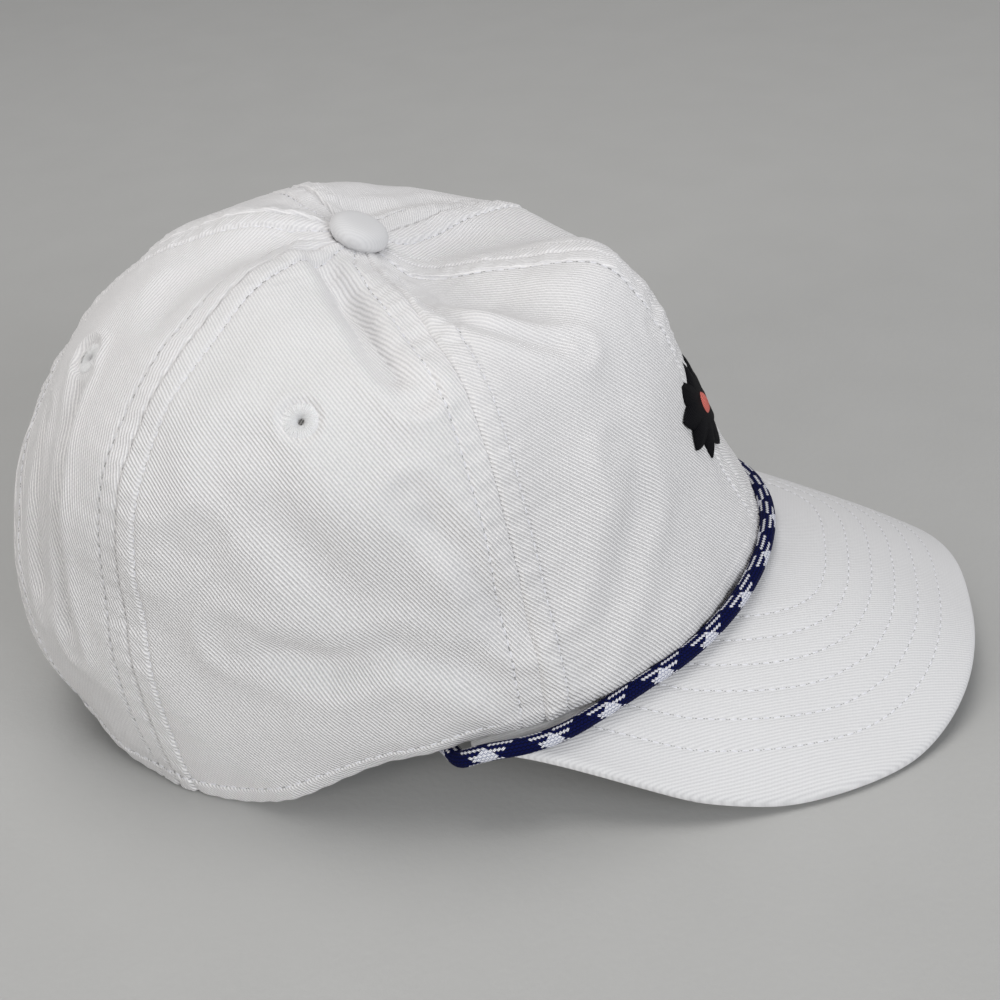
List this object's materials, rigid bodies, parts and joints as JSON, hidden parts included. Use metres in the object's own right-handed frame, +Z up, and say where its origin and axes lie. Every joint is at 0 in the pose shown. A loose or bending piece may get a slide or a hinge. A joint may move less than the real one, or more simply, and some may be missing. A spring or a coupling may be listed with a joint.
{
  "type": "snapback cap",
  "caption": "White cotton cap with a soft rounded crown, a short curved peak, a navy rope along the crease, a stitched sun on the front and a strap across the back opening.",
  "frame": {"origin": "on the table, under the middle of the whole cap's plan", "axes": "+Z up; the peak points along -Y; +X is the wearer's left"},
  "size_m": [0.1718, 0.2664, 0.1342],
  "materials": {
    "twill": "matte cotton twill",
    "thread": "sewn thread",
    "ribbon": "matte woven band",
    "braid": "braided cord with white flecks",
    "plastic": "satin",
    "black_thread": "satin-stitched thread",
    "coral_thread": "satin-stitched thread"
  },
  "bodies": {
    "root": {"panel_front_right": "twill", "panel_front_left": "twill", "panel_side_right": "twill", "panel_side_left": "twill", "panel_back_right": "twill", "panel_back_left": "twill", "eyelet_side_right": "thread", "eyelet_side_left": "thread", "eyelet_back_right": "thread", "eyelet_back_left": "thread", "back_strap": "plastic", "sweatband": "ribbon", "peak": "twill", "rope": "braid", "button": "twill", "emblem_sun": "black_thread", "emblem_dot": "coral_thread"}
  },
  "joints": []
}
